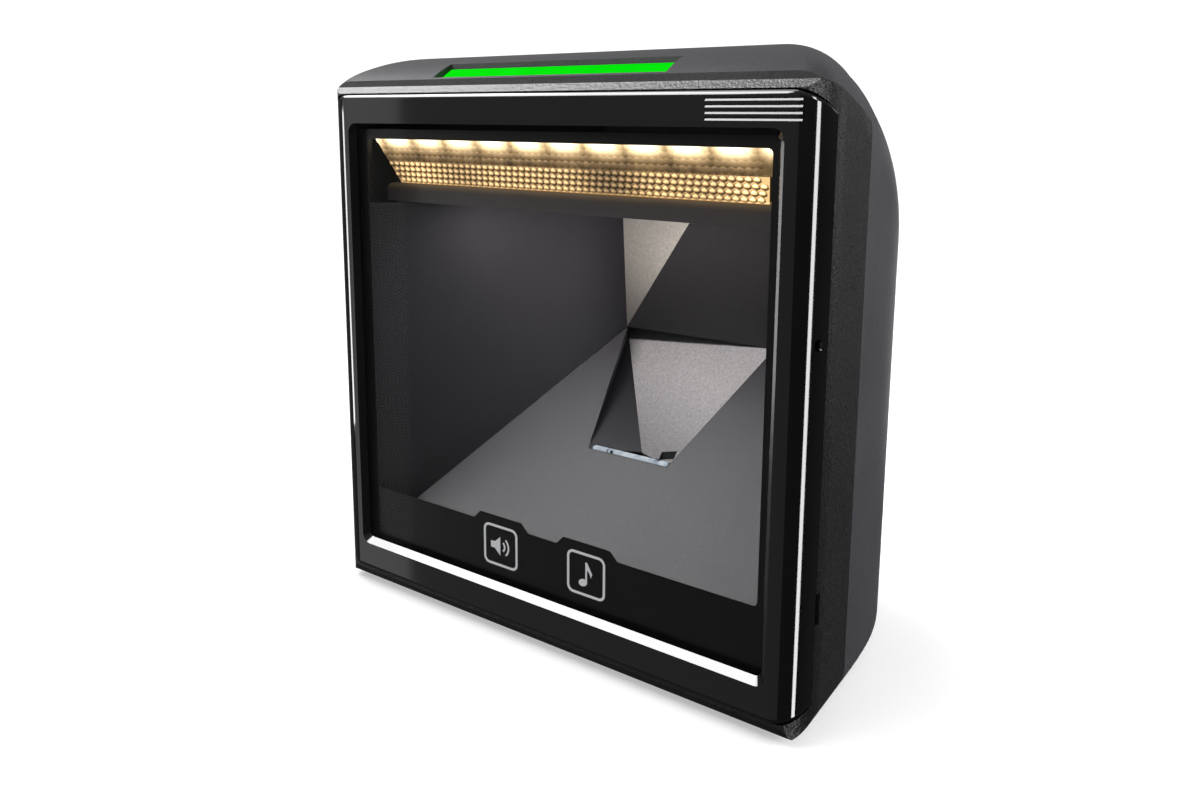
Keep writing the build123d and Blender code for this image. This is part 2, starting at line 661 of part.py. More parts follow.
BASE_PLATE_Z = (3.2, 6.9)
CASE_SCREWS = [(-48, 14.5), (48, 14.5), (-42, 64), (42, 64)]
with BuildPart() as base_plate:
    with BuildSketch(Plane.XY.offset(BASE_PLATE_Z[0])):
        with Locations((0, 39.0)):
            RectangleRounded(112.0, 58.0, 4.0)
        with Locations(*CASE_SCREWS):
            Circle(1.25, mode=Mode.SUBTRACT)
        with Locations((-STAND_X, STAND_Y), (STAND_X, STAND_Y)):
            Circle(3.0, mode=Mode.SUBTRACT)
    extrude(amount=BASE_PLATE_Z[1] - BASE_PLATE_Z[0])
save(base_plate.part, "base_plate")

with BuildPart() as stand_inserts:
    with BuildSketch(Plane.XY.offset(0.9)):
        with Locations((-STAND_X, STAND_Y), (STAND_X, STAND_Y)):
            Circle(3.0)
            Circle(1.65, mode=Mode.SUBTRACT)
    extrude(amount=6.6)
save(stand_inserts.part, "stand_inserts")

with BuildPart() as case_screws:
    for x, y in CASE_SCREWS:
        with Locations((x, y, 0.9)):
            Cylinder(1.2, 5.9, align=(Align.CENTER, Align.CENTER, Align.MIN))
save(case_screws.part, "case_screws")

FEET = [(-56, 16), (56, 16), (-40, 54), (40, 54)]
with BuildPart() as rubber_feet:
    with BuildSketch(Plane.XY):
        with Locations(*FEET):
            RectangleRounded(14.0, 8.0, 3.0)
    extrude(amount=BASE_Z - 0.02)
save(rubber_feet.part, "rubber_feet")

with BuildPart() as rating_label:
    with BuildSketch(Plane.XY.offset(BASE_Z - 0.3)):
        with Locations((0, 56.0)):
            RectangleRounded(46.0, 18.0, 1.5)
    extrude(amount=0.2)
save(rating_label.part, "rating_label")


# ---------------------------------------------------------------- sockets
def socket(shell, hole, deep):
    """Connector housing with a rectangular mouth at its back."""
    with BuildPart() as body:
        with Locations(((shell["x0"] + shell["x1"]) / 2, (SOCKET_FRONT_Y + SOCKET_BACK_Y) / 2,
                        (shell["z0"] + shell["z1"]) / 2)):
            Box(shell["x1"] - shell["x0"], SOCKET_BACK_Y - SOCKET_FRONT_Y, shell["z1"] - shell["z0"])
        with Locations(((hole["x0"] + hole["x1"]) / 2, SOCKET_BACK_Y - deep / 2 + 0.5,
                        (hole["z0"] + hole["z1"]) / 2)):
            Box(hole["x1"] - hole["x0"], deep + 1, hole["z1"] - hole["z0"], mode=Mode.SUBTRACT)
    return body.part


save(socket(JACK, JACK_HOLE, 12.5), "interface_jack")
save(socket(AUX, AUX_HOLE, 11.0), "auxiliary_port")

with BuildPart() as jack_contacts:
    with Locations(*[(-20.0 + 1.02 * (i - 4.5), 71.0, 21.4) for i in range(10)]):
        Box(0.45, 8.0, 0.35)
save(jack_contacts.part, "jack_contacts")


# ---------------------------------------------------------------- loudspeaker
SPEAKER_X = 56.0
SPEAKER_Z = 139.4
CONE_FRONT_Y = 9.6
with BuildPart() as speaker_frame:
    with BuildSketch(Plane.XZ.offset(-8.3)):
        with Locations((SPEAKER_X, SPEAKER_Z)):
            RectangleRounded(22.0, 10.0, 2.0)
            SlotOverall(18.8, 7.4, mode=Mode.SUBTRACT)
    extrude(amount=-4.0)
save(speaker_frame.part, "speaker_frame")

with BuildPart() as speaker_magnet:
    with BuildSketch(Plane.XZ.offset(-12.3)):
        with Locations((SPEAKER_X, SPEAKER_Z)):
            RectangleRounded(21.0, 9.6, 2.0)
            Circle(3.4, mode=Mode.SUBTRACT)
    extrude(amount=-2.4)
    with BuildSketch(Plane.XZ.offset(-14.7)):
        with Locations((SPEAKER_X, SPEAKER_Z)):
            RectangleRounded(21.0, 9.6, 2.0)
    extrude(amount=-1.0)
    with BuildSketch(Plane.XZ.offset(-12.3)):
        with Locations((SPEAKER_X, SPEAKER_Z)):
            Circle(2.3)
    extrude(amount=-2.4)
save(speaker_magnet.part, "speaker_magnet")

with BuildPart() as speaker_cone:
    with BuildSketch(Plane.XZ.offset(-CONE_FRONT_Y)):
        with Locations((SPEAKER_X, SPEAKER_Z)):
            SlotOverall(18.0, 6.6)
    extrude(amount=-0.8)
    with BuildSketch(Plane.XZ.offset(-(CONE_FRONT_Y + 0.8))):
        with Locations((SPEAKER_X, SPEAKER_Z)):
            Circle(3.0)
            Circle(2.7, mode=Mode.SUBTRACT)
    extrude(amount=-3.0)
save(speaker_cone.part, "speaker_cone")

with BuildPart() as sound_mesh:
    with Locations((56.5, 5.3, 139.05)):
        Box(23.4, 0.3, 4.2)
save(sound_mesh.part, "sound_mesh")


# ---------------------------------------------------------------- flat cables
def flat_cable(outline_points, x0, x1):
    """Ribbon bent in the YZ plane, from its side outline."""
    with BuildPart() as ribbon:
        with BuildSketch(Plane.YZ.offset(x0)):
            with BuildLine():
                Polyline(*outline_points, close=True)
            make_face()
        extrude(amount=x1 - x0)
    return ribbon.part


save(flat_cable([(19.7, 130.0), (19.7, 130.3), (24.0, 130.3), (61.2, 121.3), (66.8, 106.7), (72.0, 106.7),
                 (72.0, 100.0), (71.3, 100.0), (71.3, 106.4), (66.6, 106.4), (61.0, 121.0), (24.0, 130.0)],
                30.0, 40.0), "light_cable")
save(flat_cable([(57.1, 14.8), (67.6, 31.0), (67.9, 31.0), (57.4, 14.8)], 4.0, 14.0), "imager_cable")

print("written", len(written))
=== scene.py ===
import math

import bmesh
import bpy
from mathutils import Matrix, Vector


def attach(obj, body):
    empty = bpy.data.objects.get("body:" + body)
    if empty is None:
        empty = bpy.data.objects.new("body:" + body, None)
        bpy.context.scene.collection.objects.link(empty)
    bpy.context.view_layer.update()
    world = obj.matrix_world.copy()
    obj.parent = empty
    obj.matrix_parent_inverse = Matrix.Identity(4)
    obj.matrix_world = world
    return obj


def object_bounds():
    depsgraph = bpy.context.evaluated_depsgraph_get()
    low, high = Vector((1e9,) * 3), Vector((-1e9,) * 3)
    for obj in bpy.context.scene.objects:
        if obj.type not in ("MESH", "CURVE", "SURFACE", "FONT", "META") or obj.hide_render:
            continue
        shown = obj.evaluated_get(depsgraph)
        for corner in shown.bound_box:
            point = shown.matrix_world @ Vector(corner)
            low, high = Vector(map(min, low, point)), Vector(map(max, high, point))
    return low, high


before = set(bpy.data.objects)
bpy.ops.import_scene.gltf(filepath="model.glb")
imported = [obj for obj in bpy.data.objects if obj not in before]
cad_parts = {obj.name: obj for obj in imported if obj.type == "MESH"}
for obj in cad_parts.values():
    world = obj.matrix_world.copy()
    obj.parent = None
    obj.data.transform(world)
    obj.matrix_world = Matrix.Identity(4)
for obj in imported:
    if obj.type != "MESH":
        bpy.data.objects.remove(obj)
CAD_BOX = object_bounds()
MM = 0.001
FRONT = CAD_BOX[0].y             # front face of the bezel, in metres
BODY = "scanner"                 # every piece made here rides on it

# ------------------------------------------------------------------ camera, in metres and degrees
CAMERA_PLACE = (0.14113, FRONT - 0.18285, 0.13873)
CAMERA_AZIMUTH = 35.71           # to the right of the front
CAMERA_PITCH = 9.59              # downwards
CAMERA_LENS = 28.93
CAMERA_SHIFT = (0.0295, -0.105)

# ------------------------------------------------------------------ light bar, in millimetres
BAR_TOP = (5.0, 131.4)           # depth behind the front face, height
BAR_BEND = (8.6, 124.8)
BAR_FOOT = (12.0, 118.6)
BAR_HALF = 58.3                  # half its width along the top
BAR_TAPER = 0.224                # lost at each end for each millimetre down
BAR_FACING = (0.0, -0.877, -0.481)
BAR_RIM = 0.45                   # height of the bright edge along its foot
LED_COUNT = 10
LED_PITCH = 11.1
GLOW_REACH = 3.0                 # how far down the hot spots fade
CELL_PITCH = 2.0                 # small hexagonal lenses moulded in the bar
CELL_ROW = CELL_PITCH * 0.866
CELL_RINGS = [(1.0, 0.0), (0.60, 0.34)]      # share of the radius, height above the bar
CELL_CREST = 0.46
CELL_ROOT = 0.05                 # depth of each lens's foot inside the bar

# ------------------------------------------------------------------ polished edges, in millimetres
SLOT_COUNT = 4
SLOT_PITCH = 1.35
SLOT_LOW_Z = 136.59              # lower edge of the lowest sound slot
SLOT_X = (45.65, 67.15)
SLOT_LIP = [(0.02, 0.0), (0.19, 0.42), (0.19, 0.0)]      # depth behind the front face, height
OPENING_Z = (16.0, 132.5)
OPENING_LIPS = [[(63.60, 0.02), (63.05, 0.26), (63.05, 0.62)],      # across, depth behind the front face
                [(62.85, 0.84), (62.55, 0.97), (62.55, 1.18)]]

# ------------------------------------------------------------------ chamber and inside, in millimetres
VALLEY_LIT_FACING = (-0.467, -0.883, -0.044)     # facet of the upper wall given a painted pale tone, standing in for the light on it
VALLEY_SHADE_FADE = (70.0, 104.0, 0.30)            # low height, high height, share of the tone left at the low one: painted shade downwards
RAMP_LIT_FACING = (-0.178, -0.694, 0.698)        # facet of the recess given a painted pale tone, standing in for the light on it
# painted shade: the recess's pale facet darkens towards its low height
RAMP_SHADE_FADE = (43.0, 66.0, 0.34)
# painted shade: the chamber floor darkens a little towards its low height
FLOOR_SHADE_FADE = (10.0, 60.0, 0.90)
# heights of the painted warm glow along the shelf's top edge
SHELF_GLOW_Z = (113.0, 118.5)
IMAGER_GLINT_Z = 45.7                         # the imager's window carries a painted glint above this height
LABEL_RULE_PITCH = 4.2


# ------------------------------------------------------------------ node helpers
def node(tree, kind, **values):
    made = tree.nodes.new("ShaderNode" + kind)
    for name, value in values.items():
        setattr(made, name, value)
    return made


def math_node(tree, operation, *terms):
    """Math node on numbers or sockets."""
    made = node(tree, "Math", operation=operation)
    for i, term in enumerate(terms):
        if isinstance(term, (int, float)):
            made.inputs[i].default_value = term
        else:
            tree.links.new(term, made.inputs[i])
    return made.outputs[0]


def map_range(tree, source, from_min, from_max, to_min=0.0, to_max=1.0, **values):
    made = node(tree, "MapRange", **values)
    made.inputs["From Min"].default_value = from_min
    made.inputs["From Max"].default_value = from_max
    made.inputs["To Min"].default_value = to_min
    made.inputs["To Max"].default_value = to_max
    tree.links.new(source, made.inputs["Value"])
    return made.outputs[0]


def new_material(name):
    made = bpy.data.materials.new(name)
    made.use_nodes = True
    tree = made.node_tree
    return made, tree, tree.nodes["Principled BSDF"]


def position(tree):
    """Position on the object at rest, in metres."""
    return node(tree, "TexCoord").outputs["Object"]


def axis(tree, letter):
    split = node(tree, "SeparateXYZ")
    tree.links.new(position(tree), split.inputs[0])
    return split.outputs[letter]


def noise(tree, scale, detail=2.0, stretch=None):
    made = node(tree, "TexNoise")
    made.inputs["Scale"].default_value = scale
    made.inputs["Detail"].default_value = detail
    source = position(tree)
    if stretch:
        scaled = node(tree, "Mapping")
        scaled.inputs["Scale"].default_value = stretch
        tree.links.new(source, scaled.inputs["Vector"])
        source = scaled.outputs[0]
    tree.links.new(source, made.inputs["Vector"])
    return made.outputs["Fac"]


def ramp(tree, source, stops):
    """Colour ramp with (position, colour) stops."""
    made = node(tree, "ValToRGB")
    tree.links.new(source, made.inputs[0])
    points = made.color_ramp.elements
    while len(points) < len(stops):
        points.new(0.5)
    for point, (at, colour) in zip(points, stops):
        point.position = at
        point.color = (*colour, 1.0)
    return made.outputs["Color"]


def grey(value):
    return (value, value, value)


def bump(tree, shader, height, strength, distance):
    made = node(tree, "Bump")
    made.inputs["Strength"].default_value = strength
    made.inputs["Distance"].default_value = distance
    tree.links.new(height, made.inputs["Height"])
    tree.links.new(made.outputs[0], shader.inputs["Normal"])


def facing(tree, direction):
    """Cosine between the surface's normal and a direction."""
    dot = node(tree, "VectorMath", operation="DOT_PRODUCT")
    tree.links.new(node(tree, "NewGeometry").outputs["Normal"], dot.inputs[0])
    dot.inputs[1].default_value = direction
    return dot.outputs["Value"]


def scaled_colour(tree, colour, factor):
    made = node(tree, "VectorMath", operation="SCALE")
    tree.links.new(colour, made.inputs[0])
    tree.links.new(factor, made.inputs["Scale"])
    return made.outputs[0]


def blend(tree, factor, first, second):
    """Colour mix; the second may be a plain colour."""
    made = node(tree, "Mix", data_type="RGBA")
    tree.links.new(factor, made.inputs["Factor"])
    tree.links.new(first, made.inputs["A"])
    if isinstance(second, tuple):
        made.inputs["B"].default_value = (*second, 1)
    else:
        tree.links.new(second, made.inputs["B"])
    return made.outputs["Result"]


# ------------------------------------------------------------------ ordinary surfaces
def finish(name, colour, rough, grain=None, mottle=0.12, rough_spread=0.05, metallic=0.0,
           specular=0.5, coat=0.0, patch=55.0, speck=0.0):
    """Moulded or metal surface: uneven colour and roughness, and a grain of (scale, strength, depth)."""
    made, tree, shader = new_material(name)
    uneven = noise(tree, patch, 4.0)
    dark = tuple(c * (1 - mottle) for c in colour)
    light = tuple(min(1.0, c * (1 + mottle)) for c in colour)
    base = ramp(tree, uneven, [(0.3, dark), (0.7, light)])
    if speck:
        grains = ramp(tree, noise(tree, 1500.0, 2.0), [(0.36, grey(1 - speck)), (0.66, grey(1 + speck))])
        product = node(tree, "VectorMath", operation="MULTIPLY")
        tree.links.new(base, product.inputs[0])
        tree.links.new(grains, product.inputs[1])
        base = product.outputs[0]
    tree.links.new(base, shader.inputs["Base Color"])
    roughness = map_range(tree, uneven, 0.0, 1.0, rough - rough_spread, rough + rough_spread)
    tree.links.new(roughness, shader.inputs["Roughness"])
    shader.inputs["Metallic"].default_value = metallic
    shader.inputs["Specular IOR Level"].default_value = specular
    shader.inputs["Coat Weight"].default_value = coat
    shader.inputs["Coat Roughness"].default_value = 0.05
    if grain:
        scale, strength, depth = grain
        bump(tree, shader, noise(tree, scale, 3.0), strength, depth)
    return made


def give(made, *names):
    for name in names:
        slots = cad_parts[name].data.materials
        slots.clear()
        slots.append(made)


def shells():
    give(finish("gloss_black", (0.006, 0.006, 0.0065), 0.06, grain=(260.0, 0.05, 0.00005),
                rough_spread=0.02), "front_bezel")
    give(finish("textured_black", (0.007, 0.0068, 0.0078), 0.40, grain=(1500.0, 0.8, 0.0003), mottle=0.15,
                specular=0.42, speck=0.55), "front_housing")
    give(finish("satin_charcoal", (0.044, 0.0435, 0.049), 0.44, grain=(2400.0, 0.35, 0.00012), mottle=0.1,
                specular=0.28, speck=0.18), "rear_cover", "connector_panel")


# ------------------------------------------------------------------ polished edges
def new_piece(name, mesh, material):
    """Turn a finished bmesh into a piece that rides on the body."""
    bmesh.ops.recalc_face_normals(mesh, faces=mesh.faces)
    data = bpy.data.meshes.new(name)
    mesh.to_mesh(data)
    mesh.free()
    piece = bpy.data.objects.new(name, data)
    bpy.context.scene.collection.objects.link(piece)
    data.materials.append(material)
    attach(piece, BODY)
    return piece


def polished_lips(name, runs):
    """Thin polished edges. Each run is the same section at its two ends."""
    mesh = bmesh.new()
    for start, stop in runs:
        first = [mesh.verts.new(corner) for corner in start]
        last = [mesh.verts.new(corner) for corner in stop]
        mesh.faces.new(first)
        mesh.faces.new(reversed(last))
        for k in range(len(first)):
            j = (k + 1) % len(first)
            mesh.faces.new((first[j], first[k], last[k], last[j]))
    new_piece(name, mesh, bpy.data.materials["gloss_black"])


def slot_run(low):
    """Lip along one sound slot whose lower edge is at height `low`."""
    return [[(x * MM, FRONT + depth * MM, (low + up) * MM) for depth, up in SLOT_LIP] for x in SLOT_X]


def opening_run(section):
    """One fine edge down the right side of the window opening."""
    return [[(across * MM, FRONT + depth * MM, z * MM) for across, depth in section] for z in OPENING_Z]


def lips():
    polished_lips("slot_lips", [slot_run(SLOT_LOW_Z + SLOT_PITCH * i) for i in range(SLOT_COUNT)])
    polished_lips("opening_lips", [opening_run(section) for section in OPENING_LIPS])


# ------------------------------------------------------------------ window
def window():
    glass, tree, shader = new_material("window_clear")
    smear = noise(tree, 30.0, 3.0)
    tree.links.new(ramp(tree, smear, [(0.3, grey(0.002)), (0.7, grey(0.004))]), shader.inputs["Base Color"])
    shader.inputs["Roughness"].default_value = 0.03
    shader.inputs["Alpha"].default_value = 0.10
    shader.inputs["Specular IOR Level"].default_value = 0.35
    give(glass, "window_glass")
    give(finish("window_ink", (0.0035, 0.0035, 0.004), 0.3, mottle=0.1, specular=0.3), "window_border")
    symbols = finish("symbol_ink_and_painted_glow", (0.90, 0.91, 0.93), 0.5, mottle=0.04)
    surface = symbols.node_tree.nodes["Principled BSDF"]
    # the printed symbols also carry a faint painted glow: emission standing in for light on the white print
    surface.inputs["Emission Color"].default_value = (0.95, 0.96, 1.0, 1)
    surface.inputs["Emission Strength"].default_value = 0.22
    give(symbols, "key_symbols")
    give(finish("seal_black", (0.006, 0.006, 0.006), 0.6, grain=(1500.0, 0.3, 0.0001)), "window_seal")


# ------------------------------------------------------------------ optical chamber
def toned_with_painted_shade(tree, both, tone, fade):
    """Uneven tone of one facet, with painted shade darkening it downwards between two heights when asked."""
    dark = tuple(0.80 * c for c in tone)
    light = tuple(1.18 * c for c in tone)
    colour = ramp(tree, both, [(0.35, dark), (0.65, light)])
    if not fade:
        return colour
    low, high, least = fade
    # painted shade: the tone darkens towards the low height
    level = map_range(tree, axis(tree, "Z"), low * MM, high * MM, least, 1.0, interpolation_type="SMOOTHSTEP")
    return scaled_colour(tree, colour, level)


def baffle(name, tone, split=None, other=None, edge=0.93, fade=None, lit_facet_shade_fade=None):
    """Satin black plastic of the chamber; a facet that faces `split` gets a painted pale tone, standing in
    for the light that falls on it.
    """
    made, tree, shader = new_material(name)
    fine = noise(tree, 1700.0, 2.0)
    uneven = noise(tree, 26.0, 3.0)
    both = math_node(tree, "ADD", math_node(tree, "MULTIPLY", fine, 0.7),
                     math_node(tree, "MULTIPLY", uneven, 0.3))
    colour = toned_with_painted_shade(tree, both, tone, fade)
    if split:
        # painted light: facets facing `split` take the pale lit tone
        lit_facet_mask = math_node(tree, "GREATER_THAN", facing(tree, split), edge)
        colour = blend(tree, lit_facet_mask, colour, toned_with_painted_shade(tree, both, other, lit_facet_shade_fade))
    tree.links.new(colour, shader.inputs["Base Color"])
    shader.inputs["Roughness"].default_value = 0.5
    shader.inputs["Specular IOR Level"].default_value = 0.28
    bump(tree, shader, fine, 0.3, 0.0001)
    return made


def chamber():
    # each wall takes its own tone of the one satin black plastic, set by how much light reaches it: painted
    # light and shade
    give(baffle("baffle_left", (0.017, 0.0165, 0.022)), "left_wall", "chamber_side")
    give(baffle("baffle_upper", (0.028, 0.0275, 0.031), split=VALLEY_LIT_FACING, other=(0.30, 0.29, 0.285),
                edge=0.95, lit_facet_shade_fade=VALLEY_SHADE_FADE), "upper_wall")
    give(baffle("baffle_floor", (0.028, 0.0275, 0.034), fade=FLOOR_SHADE_FADE), "floor_panel")
    give(baffle("baffle_recess", (0.013, 0.013, 0.017), split=RAMP_LIT_FACING, other=(0.34, 0.34, 0.375),
                edge=0.97, lit_facet_shade_fade=RAMP_SHADE_FADE), "recess_walls")


# ------------------------------------------------------------------ light bar
def hot_spots(tree):
    """1 under each emitter at the top of the bar, fading sideways and down."""
    shifted = math_node(tree, "ADD", math_node(tree, "DIVIDE", axis(tree, "X"), LED_PITCH * MM), LED_COUNT)
    centred = math_node(tree, "SUBTRACT", math_node(tree, "FRACT", shifted), 0.5)
    sideways = math_node(tree, "MULTIPLY", math_node(tree, "ABSOLUTE", centred), 2.1)
    drop = math_node(tree, "SUBTRACT", BAR_TOP[1] * MM, axis(tree, "Z"))
    down = math_node(tree, "DIVIDE", drop, GLOW_REACH * MM)
    distance = math_node(tree, "ADD", math_node(tree, "POWER", sideways, 3.0),
                         math_node(tree, "POWER", down, 2.0))
    return math_node(tree, "POWER", math.e, math_node(tree, "MULTIPLY", distance, -1.3))


def upper_glow(tree, hot, slope):
    texture = math_node(tree, "MULTIPLY_ADD", noise(tree, 300.0, 2.0), 1.2, -0.15)
    lift = math_node(tree, "MULTIPLY_ADD", slope, 0.45, 0.50)
    return math_node(tree, "ADD", math_node(tree, "MULTIPLY", hot, 3.2),
                     math_node(tree, "MULTIPLY", texture, lift))


def lower_glow(tree, height, slope):
    """Patches of bright cells, each cell dark round its outline, and a bright edge along the foot."""
    patches = map_range(tree, noise(tree, 26.0, 1.0, stretch=(1.0, 0.0, 0.0)), 0.38, 0.62, 0.34, 4.2)
    sparkle = math_node(tree, "MAXIMUM", math_node(tree, "MULTIPLY_ADD", slope, 1.9, 0.40), 0.04)
    crown = map_range(tree, facing(tree, BAR_FACING), 0.60, 0.93, 0.16, 1.15)
    cells = math_node(tree, "MULTIPLY", math_node(tree, "MULTIPLY", patches, sparkle), crown)
    at_foot = math_node(tree, "LESS_THAN", height, (BAR_FOOT[1] + BAR_RIM) * MM)
    return math_node(tree, "ADD", cells, math_node(tree, "MULTIPLY", at_foot, 0.55))


def warm_glow(name):
    """Clear lens bar lit from behind: hot spots on its upper face, a fainter sparkle on its lower face."""
    made, tree, shader = new_material(name)
    height = axis(tree, "Z")
    hot = hot_spots(tree)
    slope = facing(tree, (0.0, -0.45, 0.89))
    mix = node(tree, "Mix", data_type="FLOAT")
    below_bend = math_node(tree, "LESS_THAN", height, (BAR_BEND[1] - 0.1) * MM)
    tree.links.new(below_bend, mix.inputs["Factor"])
    tree.links.new(upper_glow(tree, hot, slope), mix.inputs["A"])
    tree.links.new(lower_glow(tree, height, slope), mix.inputs["B"])
    tree.links.new(mix.outputs["Result"], shader.inputs["Emission Strength"])
    colours = [(0.0, (0.80, 0.50, 0.22)), (0.4, (1.0, 0.74, 0.40)), (1.0, (1.0, 0.90, 0.70))]
    tree.links.new(ramp(tree, hot, colours), shader.inputs["Emission Color"])
    shader.inputs["Base Color"].default_value = (0.10, 0.075, 0.05, 1)
    shader.inputs["Roughness"].default_value = 0.15
    return made


def add_cell(mesh, middle, down, out):
    """One domed hexagon standing on the bar."""
    radius = CELL_PITCH * MM / math.sqrt(3) * 0.97
    rings = []
    for share, lift in CELL_RINGS:
        ring = []
        for k in range(6):
            turn = math.radians(60 * k + 30)
            spoke = Vector((1, 0, 0)) * math.cos(turn) + down * math.sin(turn)
            ring.append(mesh.verts.new(middle + spoke * (radius * share) + out * (lift * MM)))
        rings.append(ring)
    low, high = rings
    crest = mesh.verts.new(middle + out * (CELL_CREST * MM))
    root = mesh.verts.new(middle - out * (CELL_ROOT * MM))
    for k in range(6):
        j = (k + 1) % 6
        mesh.faces.new((low[k], low[j], high[j], high[k]))
        mesh.faces.new((high[k], high[j], crest))
        mesh.faces.new((low[j], low[k], root))


def cells_on_face(mesh, top, bottom):
    """Rows of cells, each row half a pitch along from the one above, on one sloping face."""
    start = Vector((0, FRONT + top[0] * MM, top[1] * MM))
    run = Vector((0, FRONT + bottom[0] * MM, bottom[1] * MM)) - start
    down = run.normalized()
    out = down.cross(Vector((1, 0, 0)))
    if out.y > 0:
        out = -out
    pitch, row_height = CELL_PITCH * MM, CELL_ROW * MM
    rows = int(run.length / row_height)
    margin = (run.length - rows * row_height) / 2
    for row in range(rows):
        line = start + down * (margin + row_height * (row + 0.5))
        half = BAR_HALF * MM - (BAR_TOP[1] * MM - line.z) * BAR_TAPER
        offset = pitch / 2 * (row % 2) - pitch * 0.2
        for i in range(int(2 * half / pitch) + 1):
            x = -half + pitch * (i + 0.5) + offset
            if x <= half - pitch * 0.4:
                add_cell(mesh, line + Vector((x, 0, 0)), down, out)


def lens_cells(glow):
    """Small hexagonal lenses on the two sloping faces of the light bar."""
    mesh = bmesh.new()
    cells_on_face(mesh, BAR_TOP, BAR_BEND)
    cells_on_face(mesh, BAR_BEND, BAR_FOOT)
    piece = new_piece("light_cells", mesh, glow)
    for polygon in piece.data.polygons:
        polygon.use_smooth = True


def shelf_plastic():
    """Dark plastic with a painted warm glow along its top edge, standing in for light from the light bar."""
    shelf, tree, shader = new_material("shelf_plastic")
    wander = noise(tree, 90.0, 2.0, stretch=(1.0, 0.2, 0.2))
    height = math_node(tree, "MULTIPLY_ADD", wander, 0.8 * MM, axis(tree, "Z"))
    painted_glow_rise = map_range(tree, height, SHELF_GLOW_Z[0] * MM, SHELF_GLOW_Z[1] * MM)
    # painted light: the colour turns warm and bright towards the top edge
    colours = [(0.0, (0.155, 0.149, 0.158)), (0.72, (0.175, 0.152, 0.142)),
               (0.84, (0.30, 0.22, 0.15)), (1.0, (0.62, 0.48, 0.30))]
    tree.links.new(ramp(tree, painted_glow_rise, colours), shader.inputs["Base Color"])
    shader.inputs["Roughness"].default_value = 0.36
    bump(tree, shader, noise(tree, 1200.0), 0.15, 0.0001)
    return shelf


def emitter(name, scale, dim, bright, strength):
    made, tree, shader = new_material(name)
    colour = ramp(tree, noise(tree, scale), [(0.3, dim), (0.7, bright)])
    tree.links.new(colour, shader.inputs["Emission Color"])
    shader.inputs["Emission Strength"].default_value = strength
    return made


def lights_inside():
    glow = warm_glow("warm_lens")
    give(glow, "light_bar")
    lens_cells(glow)
    give(emitter("warm_emitter", 900.0, (1.0, 0.78, 0.4), (1.0, 0.9, 0.6), 3.0), "led_emitters")
    give(shelf_plastic(), "light_shelf")


# ------------------------------------------------------------------ indicator
def indicator():
    made, tree, shader = new_material("green_glow")
    top_face = math_node(tree, "GREATER_THAN", facing(tree, (0.0, -0.5, 0.866)), 0.8)
    colours = [(0.3, (0.0, 0.80, 0.002)), (0.7, (0.004, 0.92, 0.006))]
    tree.links.new(ramp(tree, noise(tree, 60.0), colours), shader.inputs["Emission Color"])
    tree.links.new(math_node(tree, "MULTIPLY_ADD", top_face, 0.8, 0.12), shader.inputs["Emission Strength"])
    shader.inputs["Base Color"].default_value = (0.0, 0.03, 0.001, 1)
    shader.inputs["Roughness"].default_value = 0.5
    shader.inputs["Specular IOR Level"].default_value = 0.0
    give(made, "indicator_lens")
    give(emitter("green_emitter", 500.0, (0.02, 0.9, 0.05), (0.05, 1.0, 0.1), 2.0), "indicator_leds")


# ------------------------------------------------------------------ imager
def imager():
    made, tree, shader = new_material("imager_window_glass")
    # painted highlight: pale streaks glow along the top edge of the imager's window, standing in for light
    # caught there
    painted_glint_streaks = noise(tree, 420.0, 2.0, stretch=(1.0, 0.2, 0.2))
    edge = math_node(tree, "GREATER_THAN", axis(tree, "Z"), IMAGER_GLINT_Z * MM)
    lit = math_node(tree, "MULTIPLY", edge, math_node(tree, "GREATER_THAN", painted_glint_streaks, 0.40))
    tree.links.new(ramp(tree, painted_glint_streaks, [(0.38, (0.35, 0.45, 0.55)), (0.6, (0.86, 0.93, 1.0))]),
                   shader.inputs["Emission Color"])
    tree.links.new(math_node(tree, "MULTIPLY", lit, 0.8), shader.inputs["Emission Strength"])
    shader.inputs["Base Color"].default_value = (0.02, 0.02, 0.025, 1)
    shader.inputs["Roughness"].default_value = 0.08
    give(made, "imager_window")
    give(finish("coated_lens", (0.02, 0.03, 0.06), 0.04, coat=0.6), "imager_glass")
    give(finish("black_aluminium", (0.018, 0.018, 0.02), 0.35, grain=(900.0, 0.2, 0.0001), metallic=0.6),
         "imager_lens")
    give(finish("holder_black", (0.014, 0.014, 0.014), 0.5, grain=(800.0, 0.2, 0.0001)), "imager_holder")
    give(finish("sensor_face", (0.02, 0.03, 0.035), 0.15), "image_sensor")


